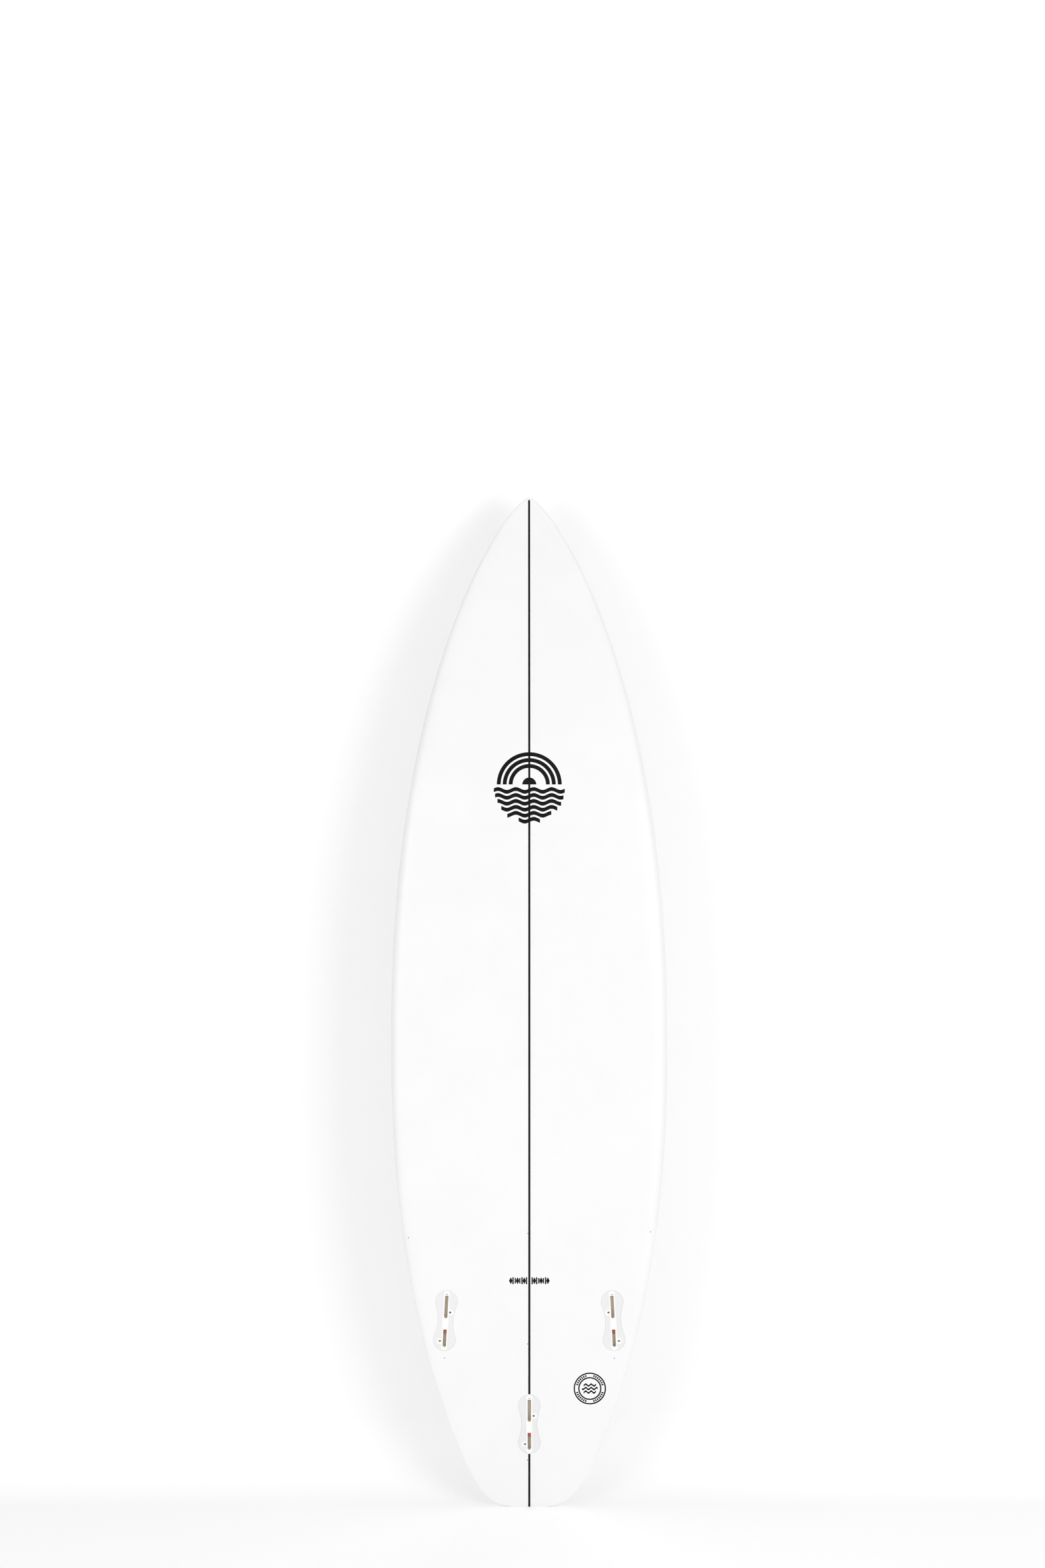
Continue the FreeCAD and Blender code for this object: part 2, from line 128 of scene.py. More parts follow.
def half_width(z):
    if z > WIDE_Z:
        t = (z - WIDE_Z) / (LENGTH + NOSE_BLUNTNESS - WIDE_Z)
        return HALF_WIDTH * (1.0 - t ** NOSE_POWERS[0]) ** NOSE_POWERS[1]
    t = (WIDE_Z - z) / (WIDE_Z + TAIL_RUN)
    rail = HALF_WIDTH * (1.0 - t ** TAIL_POWERS[0]) ** TAIL_POWERS[1]
    squash = SQUASH_HALF_WIDTH * ((z + TAIL_FLAT) / SQUASH_DROP) ** (1.0 / SQUASH_POWER)
    share = smooth((z - SQUASH_Z[0]) / (SQUASH_Z[1] - SQUASH_Z[0]))
    return squash + (rail - squash) * share


def rocker(z):
    nose = max(z - ROCKER_LOW_Z, 0.0) / (LENGTH - ROCKER_LOW_Z)
    tail = max(ROCKER_LOW_Z - z, 0.0) / ROCKER_LOW_Z
    lift = NOSE_ROCKER * nose ** NOSE_ROCKER_POWER + TAIL_ROCKER * tail ** TAIL_ROCKER_POWER
    return lift - TAIL_ROCKER - 0.5 * TAIL_THICKNESS


def thickness(z):
    nose = max(z - THICK_Z, 0.0) / (LENGTH - THICK_Z)
    tail = max(THICK_Z - z, 0.0) / THICK_Z
    thinner = (THICKNESS - NOSE_THICKNESS) * nose ** NOSE_FOIL_POWER
    return THICKNESS - thinner - (THICKNESS - TAIL_THICKNESS) * tail ** TAIL_FOIL_POWER


def along(z, at_tail, at_middle, at_nose):
    if z < WIDE_Z:
        return at_tail + (at_middle - at_tail) * smooth(z / WIDE_Z)
    return at_middle + (at_nose - at_middle) * smooth((z - WIDE_Z) / (LENGTH - WIDE_Z))


def apex(z):
    return thickness(z) * along(z, TAIL_APEX, MID_APEX, NOSE_APEX)


def concave(u, z):
    single = CONCAVE * bump(z, CONCAVE_Z, CONCAVE_SPREAD) * (1.0 - u * u) ** 2
    double = CHANNEL * bump(z, CHANNEL_Z, CHANNEL_SPREAD) * np.sin(math.pi * u) ** 2
    return single + double


def bottom_y(u, z, inset):
    tuck_power = 1.5 * half_width(z) / along(z, TAIL_TUCK, MID_TUCK, NOSE_TUCK)
    tuck = 1.0 - np.sqrt(1.0 - np.abs(u) ** tuck_power)
    return rocker(z) + inset + concave(u, z) * (1.0 - tuck) + (apex(z) - inset) * tuck


def deck_y(u, z, inset):
    dome = np.sqrt(np.maximum(1.0 - np.abs(u) ** DECK_POWER, 0.0))
    return rocker(z) + apex(z) + (thickness(z) - apex(z) - inset) * dome


def inset_half_width(z, inset):
    slope = (half_width(z + STEP) - half_width(z)) / STEP if z < LENGTH - STEP else 0.0
    return half_width(z) - inset * math.hypot(1.0, slope)


def section(z, inset, height):
    u = np.sin(math.pi * (np.arange(RAIL_STATIONS + 1) / RAIL_STATIONS - 0.5))
    row = np.stack([inset_half_width(z, inset) * u, height(u, z, inset), np.full_like(u, z)], 1)
    row[1, 0] = row[0, 0]
    row[-2, 0] = row[-1, 0]
    return row


def stations(start, end):
    middle = LENGTH - STATIONS_NOSE[0] - STATIONS_TAIL[-1]
    steps = round(middle / STATION_PITCH)
    heights = list(STATIONS_TAIL)
    heights += [STATIONS_TAIL[-1] + middle * i / steps for i in range(1, steps)]
    heights += [LENGTH - back for back in STATIONS_NOSE]
    inner = [z for z in heights if start + NEAREST_STATION < z < end - NEAREST_STATION]
    return [start] + inner + [end]


def basis(values, count):
    """Values and slopes of a clamped uniform cubic spline's basis, one row for each value."""
    end = count - 3.0
    knots = np.clip(np.arange(count + 4) - 3.0, 0.0, end)
    place = np.clip(values, 0.0, end - 1e-9)[:, None]
    rows = ((knots[:-1] <= place) & (place < knots[1:])).astype(float)
    slopes = rows
    for degree in (1, 2, 3):
        spans = knots[degree:] - knots[:-degree]
        inverse = np.divide(1.0, spans, out=np.zeros_like(spans), where=spans > 0.0)
        slopes = degree * (rows[:, :-1] * inverse[:-1] - rows[:, 1:] * inverse[1:])
        rising = (place - knots[:-degree - 1]) * inverse[:-1] * rows[:, :-1]
        falling = (knots[degree + 1:] - place) * inverse[1:] * rows[:, 1:]
        rows = rising + falling
    return rows, slopes


class Surface:
    """The bottom or the deck: s runs from rail to rail and t from tail to nose."""

    def __init__(self, height, inset, facing):
        heights = stations(inset, LENGTH - NOSE_STRETCH * inset)
        self.facing = facing
        self.poles = np.array([section(z, inset, height) for z in heights])
        self.s_end = RAIL_STATIONS - 2.0
        self.t_end = len(heights) - 3.0
        self.fine_t = np.linspace(0.0, self.t_end, 4001)
        self.fine_z = basis(self.fine_t, len(self.poles))[0] @ self.poles[:, 0, 2]

    def at(self, s, t):
        """Points and outward normals at pairs of s and t."""
        across, across_slope = [part[:, :, None] for part in basis(s, RAIL_STATIONS + 1)]
        up, up_slope = basis(t, len(self.poles))
        shape = (-1, RAIL_STATIONS + 1, 3)
        flat = self.poles.reshape(len(self.poles), -1)
        rows = (up @ flat).reshape(shape)
        points = (rows * across).sum(1)
        d_s = (rows * across_slope).sum(1)
        d_t = ((up_slope @ flat).reshape(shape) * across).sum(1)
        normals = np.cross(d_s, d_t) * self.facing
        return points, normals / np.linalg.norm(normals, axis=1)[:, None]

    def t_at(self, z):
        return np.interp(z, self.fine_z, self.fine_t)

    def locate(self, x, z):
        """The s and t of the surface points at x and z."""
        t = self.t_at(z)
        rows = basis(t, len(self.poles))[0] @ self.poles[:, :, 0]
        u = np.clip(x / np.abs(rows[:, 0]), -1.0, 1.0)
        s = RAIL_STATIONS * (np.arcsin(u) / math.pi + 0.5) - 1.0
        for _ in range(8):
            across, slope = basis(s, RAIL_STATIONS + 1)
            error = (rows * across).sum(1) - x
            s = np.clip(s - error / np.maximum((rows * slope).sum(1), 0.2), 0.0, self.s_end)
        return s, t

    def over(self, plan, lift=0.0):
        """Points of the plan, an array of x and z, raised by lift above the surface, and normals."""
        points, normals = self.at(*self.locate(plan[:, 0], plan[:, 1]))
        return points + lift * normals, normals


BOTTOM = Surface(bottom_y, 0.0, 1.0)
DECK = Surface(deck_y, 0.0, -1.0)
BOTTOM_INSIDE = Surface(bottom_y, GLASS, 1.0)
DECK_INSIDE = Surface(deck_y, GLASS, -1.0)


# ---------------------------------------------------------------- outlines, in x and z

def disc(radius, x=0.0, z=0.0, sides=64):
    angle = np.arange(sides) * 2.0 * math.pi / sides
    return np.stack([x + radius * np.cos(angle), z + radius * np.sin(angle)], 1)


def capsule(width, length, sides=40):
    """A strip along z with half-round ends."""
    radius = 0.5 * width
    half = np.arange(sides // 2 + 1) * 2.0 * math.pi / sides
    top = np.stack([radius * np.cos(half), 0.5 * length - radius + radius * np.sin(half)], 1)
    return np.concatenate([top, -top])


def oblong(width, length, x=0.0, z=0.0):
    corners = np.array([(0.5, -0.5), (0.5, 0.5), (-0.5, 0.5), (-0.5, -0.5)])
    return corners * (width, length) + (x, z)


def arc(radius, start, end, x, z, sides):
    """An open arc between two angles in degrees."""
    angle = np.radians(np.linspace(start, end, sides))
    return np.stack([x + radius * np.cos(angle), z + radius * np.sin(angle)], 1)


def dog_bone(inset=0.0):
    """Two round lobes, and sides hollowed by an arc that is tangent to both."""
    lobe_z = 0.5 * BOX_LENGTH - LOBE_RADIUS
    waist = 0.5 * WAIST
    hollow = (waist ** 2 + lobe_z ** 2 - LOBE_RADIUS ** 2) / (2.0 * (LOBE_RADIUS - waist))
    tilt = math.degrees(math.atan2(lobe_z, hollow + waist))
    lobe = arc(LOBE_RADIUS - inset, -tilt, 180.0 + tilt, 0.0, lobe_z, 72)
    side = arc(hollow + inset, tilt, -tilt, -hollow - waist, 0.0, 24)[1:-1]
    half = np.concatenate([lobe, side])
    return np.concatenate([half, -half])


def rib_outline(flip, margin):
    """The rib of a fin box with a round lug for each screw."""
    return [capsule(RIB_WIDTH + 2.0 * margin, BOX_LENGTH - 2.0 * RIB_MARGIN + 2.0 * margin),
            disc(LUG_RADIUS + margin, flip * SCREW_OFFSET, FRONT_SCREW_Z),
            disc(LUG_RADIUS + margin, -flip * SCREW_OFFSET, REAR_SCREW_Z)]


def on_board(outline, surface, x, z, toe=0.0):
    """Move an outline from a fin box's local frame to the board's plan."""
    dense = refined(outline, OUTLINE_PITCH)
    slope = math.atan((rocker(z + 1.0) - rocker(z - 1.0)) / 2.0)
    turn = math.radians(toe)
    base = surface.over(np.array([(x, z)]))[0][0]
    across = dense[:, 0] * math.cos(turn) + dense[:, 1] * math.sin(turn)
    forward = dense[:, 1] * math.cos(turn) - dense[:, 0] * math.sin(turn)
    depth = np.zeros_like(forward)
    for _ in range(3):
        plan = np.stack([x + across, z + forward * math.cos(slope) - depth * math.sin(slope)], 1)
        rise = surface.over(plan)[0][:, 1] - base[1]
        depth = (rise - forward * math.sin(slope)) / math.cos(slope)
    return plan


def refined(outline, pitch):
    """The same closed outline with no step longer than pitch."""
    rows = []
    for start, end in zip(outline, np.roll(outline, -1, axis=0)):
        steps = max(1, math.ceil(np.linalg.norm(end - start) / pitch))
        rows.append(start + (end - start) * (np.arange(steps) / steps)[:, None])
    return np.concatenate(rows)


def turns_left(outline):
    x, z = outline[:, 0], outline[:, 1]
    return np.dot(x, np.roll(z, -1)) > np.dot(z, np.roll(x, -1))


def counter_clockwise(outline):
    return outline if turns_left(outline) else outline[::-1]


def triangulate(loose, outlines):
    """The corners, triangles, outlines that each triangle lies in, and each corner's sources."""
    corners = [Vector(point) for point in loose]
    loops = []
    for outline in outlines:
        first = len(corners)
        corners += [Vector(point) for point in counter_clockwise(outline)]
        loops.append(list(range(first, len(corners))))
    found = delaunay_2d_cdt(corners, [], loops, 0, 1e-6, True)
    plan = np.array([tuple(corner) for corner in found[0]])
    return plan, found[2], [set(inside) for inside in found[5]], found[3]


# ---------------------------------------------------------------- meshes

def piece(name, points, faces, corner_normals, materials, indices=None):
    mesh = bpy.data.meshes.new(name)
    mesh.from_pydata((points * MM).tolist(), [], faces)
    for made in materials:
        mesh.materials.append(made)
    mesh.polygons.foreach_set("use_smooth", np.ones(len(faces), bool))
    if indices is not None:
        mesh.polygons.foreach_set("material_index", np.array(indices, np.int32))
    mesh.normals_split_custom_set(corner_normals)
    obj = bpy.data.objects.new(name, mesh)
    bpy.context.scene.collection.objects.link(obj)
    return obj


def open_edges(faces):
    """The edges that only one face has, in that face's direction."""
    found = {}
    for face in faces:
        for edge in zip(face, face[1:] + face[:1]):
            if edge[::-1] in found:
                del found[edge[::-1]]
            else:
                found[edge] = True
    return found


def shell(name, outer, inner, normals, faces, materials, indices=None, flat=None):
    """Close a sheet with its inner copy and a wall round each open edge.  flat has the
    normals of the faces that are flat, by number."""
    flat = flat or {}
    count = len(outer)
    points = np.concatenate([outer, inner])
    walls = [(b, a, a + count, b + count) for a, b in open_edges(faces)]
    backs = [tuple(corner + count for corner in reversed(face)) for face in faces]
    corner_normals = []
    for side, group in ((1.0, faces), (-1.0, backs)):
        for number, face in enumerate(group):
            if number in flat:
                corner_normals += [flat[number] * side] * len(face)
            else:
                corner_normals += [side * normals[corner % count] for corner in face]
    first = points[[wall[0] for wall in walls]]
    wall_normals = np.cross(points[[wall[1] for wall in walls]] - first,
                            points[[wall[2] for wall in walls]] - first)
    wall_normals /= np.maximum(np.linalg.norm(wall_normals, axis=1), 1e-12)[:, None]
    corner_normals += list(np.repeat(wall_normals, 4, axis=0))
    if indices is not None:
        indices = list(indices) + list(indices) + [0] * len(walls)
    return piece(name, points, list(faces) + backs + walls, corner_normals, materials, indices)


def patch(name, surface, outlines, choose, materials):
    """A thin inlay on the surface.  choose takes the outlines that a triangle lies in, and
    returns its material's index, or None where there's no inlay."""
    outlines = [refined(outline, PATCH_PITCH) for outline in outlines]
    corners = np.concatenate(outlines)
    low, high = corners.min(axis=0), corners.max(axis=0)
    steps = np.maximum(np.ceil((high - low) / PATCH_PITCH).astype(int), 1)
    x = low[0] + (high[0] - low[0]) * (np.arange(steps[0]) + 0.5) / steps[0]
    z = low[1] + (high[1] - low[1]) * (np.arange(steps[1]) + 0.5) / steps[1]
    loose = np.stack(np.meshgrid(x, z), -1).reshape(-1, 2)
    plan, triangles, inside, _ = triangulate(loose, outlines)
    kept = [(tri, choose(loops)) for tri, loops in zip(triangles, inside)]
    kept = [(tri, index) for tri, index in kept if index is not None]
    used = sorted({corner for tri, _ in kept for corner in tri})
    number = {corner: i for i, corner in enumerate(used)}
    faces = [tuple(number[corner] for corner in tri) for tri, _ in kept]
    if surface.facing < 0.0:
        faces = [face[::-1] for face in faces]
    top, normals = surface.over(plan[used], PRINT_LIFT)
    low_side = surface.over(plan[used], -PRINT_LIFT)[0]
    return shell(name, top, low_side, normals, faces, materials, [index for _, index in kept])


def odd(loops):
    """Inlay where a triangle lies in an odd number of outlines."""
    return 0 if len(loops) % 2 else None


def hole_faces(surface, plan, index, cut, outlines, all_s, all_t):
    """Triangles round the holes, in place of a block of the grid's cells, which is marked in
    cut.  The new corners are added to all_s and all_t."""
    corners = np.concatenate(outlines)
    hole_s, hole_t = surface.locate(corners[:, 0], corners[:, 1])
    first_row, last_row = int(hole_t.min() * SKIN_ROWS) - 1, int(hole_t.max() * SKIN_ROWS) + 2
    first, last = int(hole_s.min() * SKIN_COLUMNS) - 1, int(hole_s.max() * SKIN_COLUMNS) + 2
    cut[first_row:last_row, first:last] = True
    block = index[first_row:last_row + 1, first:last + 1]
    border = np.concatenate([block[0, :-1], block[:-1, -1], block[-1, :0:-1], block[:0:-1, 0]])
    if not turns_left(plan[border]):
        border = border[::-1]
    inner = block[1:-1, 1:-1].ravel()
    known = np.concatenate([inner, border])
    flat, triangles, loops, source = triangulate(plan[inner], [plan[border]] + outlines)
    kept = [tri for tri, where in zip(triangles, loops) if where == {0}]
    number = {}
    for corner in sorted({corner for tri in kept for corner in tri}):
        old = [i for i in source[corner] if i < len(known)]
        if old:
            number[corner] = int(known[old[0]])
        else:
            number[corner] = len(all_s)
            new_s, new_t = surface.locate(flat[corner:corner + 1, 0], flat[corner:corner + 1, 1])
            all_s.append(new_s[0])
            all_t.append(new_t[0])
    return [tuple(number[corner] for corner in tri) for tri in kept]


def under_glass(inside, s, outer, normals):
    """The inner side of the glass: on the inside surface at the rails and both ends, and
    straight below the outer side elsewhere."""
    z = outer[:, 2]
    tail = np.clip(1.0 - z / END_ZONE, 0.0, 1.0)
    nose = np.clip(1.0 - (LENGTH - z) / END_ZONE, 0.0, 1.0)
    inner_z = z + GLASS * tail ** 3 - NOSE_STRETCH * GLASS * nose ** 3
    under = inside.at(s, inside.t_at(inner_z))[0]
    width = np.array([half_width(min(max(height, 0.0), LENGTH)) for height in z])
    rail = smooth((np.abs(outer[:, 0]) / width - RAIL_ZONE[0]) / (RAIL_ZONE[1] - RAIL_ZONE[0]))
    share = np.maximum(rail, smooth(2.0 * np.maximum(tail, nose)))[:, None]
    return (outer - GLASS * normals) * (1.0 - share) + under * share


def skin(name, surface, inside, holes, materials):
    """One glass skin with its holes: a sheet, the inner side of the glass and flat ends."""
    s = np.linspace(0.0, surface.s_end, int(surface.s_end) * SKIN_COLUMNS + 1)
    t = np.linspace(0.0, surface.t_end, int(surface.t_end) * SKIN_ROWS + 1)
    grid_t, grid_s = [side.ravel() for side in np.meshgrid(t, s, indexing="ij")]
    plan = surface.at(grid_s, grid_t)[0][:, (0, 2)]
    index = np.arange(len(plan)).reshape(len(t), len(s))
    cut = np.zeros((len(t) - 1, len(s) - 1), bool)
    all_s, all_t = list(grid_s), list(grid_t)
    faces = []
    for outlines in holes:
        faces += hole_faces(surface, plan, index, cut, outlines, all_s, all_t)
    cells = np.stack([index[:-1, :-1], index[:-1, 1:], index[1:, 1:], index[1:, :-1]], -1)
    faces += [tuple(cell) for cell in cells[~cut].tolist()]
    up = np.array((0.0, 0.0, 1.0))
    ends = {len(faces): -up, len(faces) + 1: up}
    faces += [tuple(index[0, ::-1].tolist()), tuple(index[-1, :].tolist())]
    if surface.facing < 0.0:
        faces = [face[::-1] for face in faces]
    all_s, all_t = np.array(all_s), np.array(all_t)
    outer, normals = surface.at(all_s, all_t)
    below = under_glass(inside, all_s, outer, normals)
    # Vertices that a hole leaves unused are dropped.
    used = np.zeros(len(outer), bool)
    for face in faces:
        used[list(face)] = True
    renumber = (np.cumsum(used) - 1).tolist()
    faces = [tuple(renumber[corner] for corner in face) for face in faces]
    return shell(name, outer[used], below[used], normals[used], faces, materials, None, ends)


# ---------------------------------------------------------------- materials

def look(name, colour, roughness, **sockets):
    """A new material: its node tree, its shader and the Object coordinates."""
    made = bpy.data.materials.new(name)
    made.use_nodes = True
    tree = made.node_tree
    shader = tree.nodes["Principled BSDF"]
    shader.inputs["Base Color"].default_value = (*colour, 1.0)
    shader.inputs["Roughness"].default_value = roughness
    for socket, value in sockets.items():
        shader.inputs[socket.replace("_", " ")].default_value = value
    place = tree.nodes.new("ShaderNodeTexCoord").outputs["Object"]
    return made, tree, shader, place


def noise(tree, place, scale, detail=4.0, stretch=(1.0, 1.0, 1.0)):
    """Noise with scale cells to the metre."""
    mapping = tree.nodes.new("ShaderNodeMapping")
    mapping.inputs["Scale"].default_value = stretch
    tree.links.new(place, mapping.inputs["Vector"])
    texture = tree.nodes.new("ShaderNodeTexNoise")
    texture.inputs["Scale"].default_value = scale
    texture.inputs["Detail"].default_value = detail
    tree.links.new(mapping.outputs["Vector"], texture.inputs["Vector"])
    return texture.outputs["Fac"]


def ramp(tree, fac, low, high, start=0.35, end=0.65):
    """Colour or grey level between low and high as fac goes from start to end."""
    node = tree.nodes.new("ShaderNodeValToRGB")
    for element, place, value in zip(node.color_ramp.elements, (start, end), (low, high)):
        element.position = place
        element.color = (*value, 1.0) if isinstance(value, tuple) else (value, value, value, 1.0)
    tree.links.new(fac, node.inputs["Fac"])
    return node.outputs["Color"]


def bumped(tree, shader, height, strength, distance, under=None):
    """Bump the shader by a height, on top of the bump under it."""
    node = tree.nodes.new("ShaderNodeBump")
    node.inputs["Strength"].default_value = strength
    node.inputs["Distance"].default_value = distance
    tree.links.new(height, node.inputs["Height"])
    if under is not None:
        tree.links.new(under, node.inputs["Normal"])
    tree.links.new(node.outputs["Normal"], shader.inputs["Normal"])
    return node.outputs["Normal"]


def weave(tree, place):
    """Two crossing sets of threads, as height."""
    threads_per_metre = 0.314 / THREAD_PITCH
    threads = []
    for direction in ("X", "Z"):
        wave = tree.nodes.new("ShaderNodeTexWave")
        wave.bands_direction = direction
        wave.inputs["Scale"].default_value = threads_per_metre
        wave.inputs["Distortion"].default_value = 0.6
        wave.inputs["Detail"].default_value = 1.0
        tree.links.new(place, wave.inputs["Vector"])
        threads.append(wave.outputs["Fac"])
    node = tree.nodes.new("ShaderNodeMath")
    node.operation = "MULTIPLY"
    tree.links.new(threads[0], node.inputs[0])
    tree.links.new(threads[1], node.inputs[1])
    return node.outputs["Value"]


def resin(name, dark, light, shine=0.5):
    """Satin sanded resin over the colour that shows through it."""
    made, tree, shader, place = look(name, light, 0.36, IOR=1.5, Specular_IOR_Level=shine)
    tree.links.new(ramp(tree, noise(tree, place, 9.0), dark, light), shader.inputs["Base Color"])
    rough = ramp(tree, noise(tree, place, 60.0, 6.0, (1.0, 1.0, 0.25)), 0.31, 0.42)
    tree.links.new(rough, shader.inputs["Roughness"])
    cloth = bumped(tree, shader, weave(tree, place), 0.10, 0.00004)
    bumped(tree, shader, noise(tree, place, 900.0, 3.0, (1.0, 1.0, 0.3)), 0.12, 0.00006, cloth)
    return made


def moulded(name, dark, light, roughness):
    """Moulded plastic with a fine grain."""
    made, tree, shader, place = look(name, light, roughness)
    tree.links.new(ramp(tree, noise(tree, place, 160.0), dark, light), shader.inputs["Base Color"])
    rough = ramp(tree, noise(tree, place, 700.0), roughness - 0.05, roughness + 0.07)
    tree.links.new(rough, shader.inputs["Roughness"])
    bumped(tree, shader, noise(tree, place, 1500.0, 3.0), 0.35, 0.00003)
    return made


def turned_steel(name, dark, light, roughness):
    """Steel with the fine rings of turning and a dull, uneven tone."""
    made, tree, shader, place = look(name, light, roughness, Metallic=1.0)
    tree.links.new(ramp(tree, noise(tree, place, 900.0, 5.0), dark, light), shader.inputs["Base Color"])
    rough = ramp(tree, noise(tree, place, 2500.0, 3.0), roughness - 0.06, roughness + 0.1)
    tree.links.new(rough, shader.inputs["Roughness"])
    bumped(tree, shader, noise(tree, place, 4000.0, 2.0, (1.0, 0.1, 1.0)), 0.3, 0.00001)
    return made


def foam_look():
    """Cut foam with its closed cells."""
    made, tree, shader, place = look("foam", (0.93, 0.92, 0.88), 0.85)
    tree.links.new(ramp(tree, noise(tree, place, 25.0), (0.90, 0.89, 0.84), (0.94, 0.93, 0.90)),
                   shader.inputs["Base Color"])
    cells = tree.nodes.new("ShaderNodeTexVoronoi")
    cells.inputs["Scale"].default_value = 1400.0
    tree.links.new(place, cells.inputs["Vector"])
    bumped(tree, shader, cells.outputs["Distance"], 0.5, 0.0002)
    return made


def wood_look():
    """Black-stained ply with grain along the board."""
    made, tree, shader, place = look("stringer_wood", (0.03, 0.03, 0.035), 0.6)
    grain = noise(tree, place, 120.0, 6.0, (1.0, 1.0, 0.04))
    tree.links.new(ramp(tree, grain, (0.018, 0.017, 0.018), (0.05, 0.047, 0.045)),
                   shader.inputs["Base Color"])
    bumped(tree, shader, grain, 0.4, 0.0002)
    return made


def paper_look():
    """Tissue with loose fibres."""
    made, tree, shader, place = look("tissue", (0.9, 0.9, 0.89), 0.8)
    fibres = noise(tree, place, 400.0, 8.0, (1.0, 1.0, 0.4))
    tree.links.new(ramp(tree, fibres, (0.86, 0.86, 0.84), (0.92, 0.92, 0.91)),
                   shader.inputs["Base Color"])
    bumped(tree, shader, fibres, 0.3, 0.0001)
    return made


def studio_look(name, see_through):
    """Matt white paper, lifted a little where it lies flat.  The wall is open from behind."""
    made, tree, shader, place = look(name, (PAPER_WHITE,) * 3, 0.9)
    tone = ramp(tree, noise(tree, place, 1.2), (PAPER_WHITE - 0.006,) * 3, (PAPER_WHITE,) * 3)
    tree.links.new(tone, shader.inputs["Base Color"])
    bumped(tree, shader, noise(tree, place, 180.0), 0.08, 0.0004)
    surface = tree.nodes.new("ShaderNodeNewGeometry").outputs
    facing = tree.nodes.new("ShaderNodeSeparateXYZ")
    tree.links.new(surface["Normal"], facing.inputs[0])
    glow = tree.nodes.new("ShaderNodeMath")
    glow.operation = "MULTIPLY"
    glow.inputs[1].default_value = FLOOR_GLOW
    tree.links.new(facing.outputs["Z"], glow.inputs[0])
    tree.links.new(glow.outputs[0], shader.inputs["Emission Strength"])
    if see_through:
        clear = tree.nodes.new("ShaderNodeBsdfTransparent")
        mix = tree.nodes.new("ShaderNodeMixShader")
        tree.links.new(surface["Backfacing"], mix.inputs[0])
        tree.links.new(shader.outputs[0], mix.inputs[1])
        tree.links.new(clear.outputs[0], mix.inputs[2])
        tree.links.new(mix.outputs[0], tree.nodes["Material Output"].inputs["Surface"])
    return made


WHITE_RESIN = resin("resin_over_foam", (0.855, 0.855, 0.86), (0.87, 0.87, 0.872))
FLANGE_RESIN = resin("resin_over_flange", (0.775, 0.773, 0.782), (0.795, 0.792, 0.802))
FLANGE_LINE = resin("resin_over_flange_edge", (0.60, 0.595, 0.605), (0.70, 0.695, 0.705))
STRINGER_RESIN = resin("resin_over_stringer", (0.004, 0.004, 0.0045), (0.009, 0.0085, 0.009), 0.12)
INK_RESIN = resin("resin_over_ink", (0.004, 0.0038, 0.004), (0.008, 0.0076, 0.008), 0.12)
PENCIL_RESIN = resin("resin_over_pencil", (0.22, 0.22, 0.24), (0.38, 0.38, 0.40))
BOX_PLASTIC = moulded("box_plastic", (0.90, 0.905, 0.89), (0.93, 0.935, 0.915), 0.42)
# Painted shade: the insides of the fin box slots are coloured darker and warmer than the box plastic,
# as they look in shade.
SLOT_PAINTED_SHADE = moulded("slot_painted_shade", (0.84, 0.77, 0.66), (0.90, 0.84, 0.73), 0.55)
CUP_PLASTIC = moulded("cup_plastic", (0.86, 0.865, 0.86), (0.90, 0.90, 0.895), 0.38)
ROLLER_PLASTIC = moulded("roller_plastic", (0.36, 0.07, 0.035), (0.46, 0.095, 0.045), 0.35)
STEEL = turned_steel("steel", (0.55, 0.55, 0.56), (0.66, 0.66, 0.67), 0.28)
# The screws' steel is darker and browner than the other steel.
SCREW_STEEL = turned_steel("screw_steel", (0.30, 0.24, 0.19), (0.46, 0.40, 0.34), 0.4)
NODE_LOOKS = {
    "foam_core": foam_look(), "stringer": wood_look(), "fin_box": BOX_PLASTIC,
    "leash_cup": CUP_PLASTIC, "roller_axle": STEEL, "roller": ROLLER_PLASTIC,
    "grub_screw": SCREW_STEEL, "leash_pin": STEEL, "bottom_glass": WHITE_RESIN,
    "deck_glass": WHITE_RESIN}
TISSUE = paper_look()


def dress_nodes():
    """Every CAD node gets its material, and the slots in the fin boxes get a darker, warmer one inside,
    which paints the shade in the slots.
    """
    for name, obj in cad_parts.items():
        kinds = [kind for kind in NODE_LOOKS if name.startswith(kind)]
        made = NODE_LOOKS[max(kinds, key=len)] if kinds else TISSUE
        obj.data.materials.clear()
        obj.data.materials.append(made)
        if name.startswith("fin_box_"):
            paint_slot_shade(obj)


def paint_slot_shade(obj):
    """Faces below the board's surface inside a fin box take the second material, a darker, warmer
    plastic colour painted as the shade deep in the slots and holes.
    """
    obj.data.materials.append(SLOT_PAINTED_SHADE)
    centres = np.empty(len(obj.data.polygons) * 3)
    obj.data.polygons.foreach_get("center", centres)
    centres = centres.reshape(-1, 3) / MM
    top = BOTTOM.over(centres[:, (0, 2)])[0][:, 1]
    # Faces deeper than SLOT_FLOOR get the painted slot shade.
    below = centres[:, 1] - top > SLOT_FLOOR
    obj.data.polygons.foreach_set("material_index", below.astype(np.int32))


# ---------------------------------------------------------------- the board's visible pieces

def add(obj, slot_name, *replaced):
    """Put a piece on the board, in place of the CAD nodes that it replaces."""
    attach(obj, "board")
    if replaced:
        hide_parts(*replaced)


